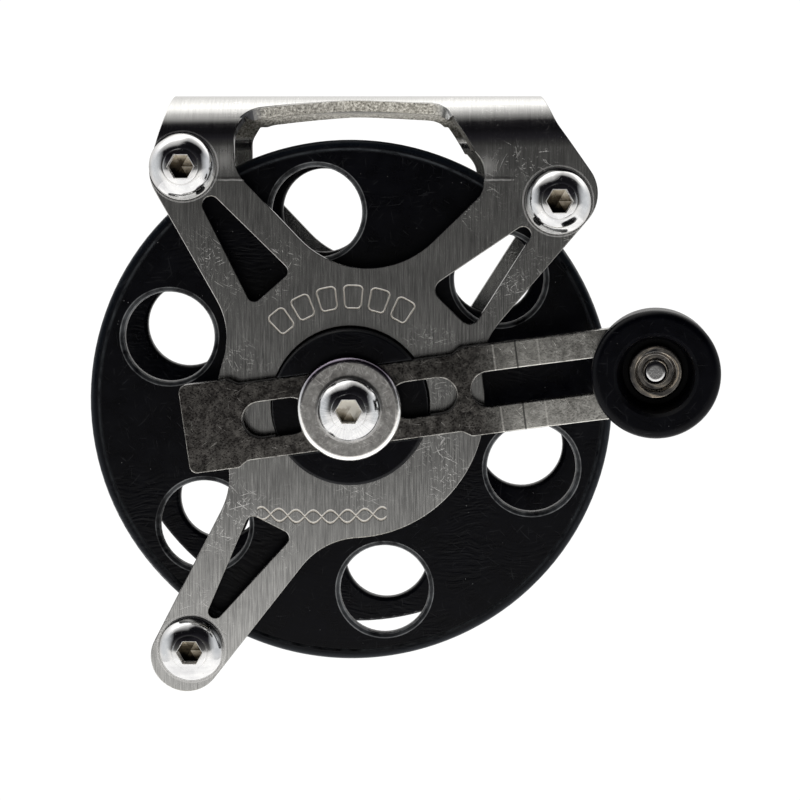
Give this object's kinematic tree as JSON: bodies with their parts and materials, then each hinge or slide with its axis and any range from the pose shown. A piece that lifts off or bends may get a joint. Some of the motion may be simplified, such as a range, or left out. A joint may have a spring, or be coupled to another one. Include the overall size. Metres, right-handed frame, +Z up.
{
  "type": "line reel",
  "caption": "Open-frame line reel: bent steel frame with a top mounting web, flanged black spool with round holes, slotted crank with a cup-shaped knob, and a rear drag knob.",
  "frame": {"origin": "middle between the two screw holes, on the top face of the frame's web; the spool axis is 49.0 mm below it", "axes": "+Z up out of the web, towards the gun or rail it hangs from; X along the line of the two holes; Y along the spool axis, with the crank at -Y and the drag knob at +Y"},
  "size_m": [0.0989, 0.0781, 0.0954],
  "materials": {
    "stainless_sheet": "brushed, scratched",
    "tumbled_steel": "tumbled, mottled",
    "bright_steel": "polished",
    "spring_steel": "dark satin",
    "black_acetal": "satin, turned",
    "slip_washer": "smooth",
    "brass_insert": "turned"
  },
  "bodies": {
    "frame": {"frame": "stainless_sheet", "tie_rod_upper_left": "bright_steel", "tie_rod_upper_right": "bright_steel", "tie_rod_lower_left": "bright_steel", "front_frame_screws": "bright_steel", "back_frame_screws": "bright_steel"},
    "spool": {"spool_core": "black_acetal", "spool_front_flange": "black_acetal", "spool_back_flange": "black_acetal", "front_flange_screws": "bright_steel", "back_flange_screws": "bright_steel", "front_thrust_washer": "slip_washer", "inner_drag_washer": "slip_washer", "outer_drag_washer": "slip_washer", "pressure_plate": "stainless_sheet", "disc_springs": "spring_steel", "axle_screw": "bright_steel", "stop_nut": "bright_steel", "crank": "tumbled_steel", "crank_washer": "bright_steel", "crank_pin": "bright_steel", "knob_base_washer": "slip_washer", "knob_ring": "bright_steel"},
    "handle": {"handle_knob": "black_acetal", "knob_bush": "brass_insert"},
    "drag_thrust": {"spring_thrust_washer": "bright_steel"},
    "drag": {"drag_knob": "black_acetal", "drag_knob_insert": "brass_insert"}
  },
  "joints": [
    {"name": "spool_spin", "type": "hinge", "parent": "frame", "child": "spool", "pos_m": [0, 0, -0.049], "axis": [0, 1, 0], "continuous": true},
    {"name": "handle_knob_spin", "type": "hinge", "parent": "spool", "child": "handle", "pos_m": [0.04756, -0.02671, -0.04253], "axis": [-0.1036, -0.9945, -0.0141], "continuous": true},
    {"name": "drag_knob_travel", "type": "slide", "parent": "spool", "child": "drag_thrust", "axis": [0, 1, 0], "range_m": [0, 0.00075]},
    {"name": "drag_knob_turn", "type": "hinge", "parent": "drag_thrust", "child": "drag", "pos_m": [0, 0, -0.049], "axis": [0, 1, 0], "range_deg": [0, 270]}
  ],
  "couplings": [
    {"joint": "drag_knob_turn", "follows": "drag_knob_travel", "rad_per_m": 6283.2}
  ]
}
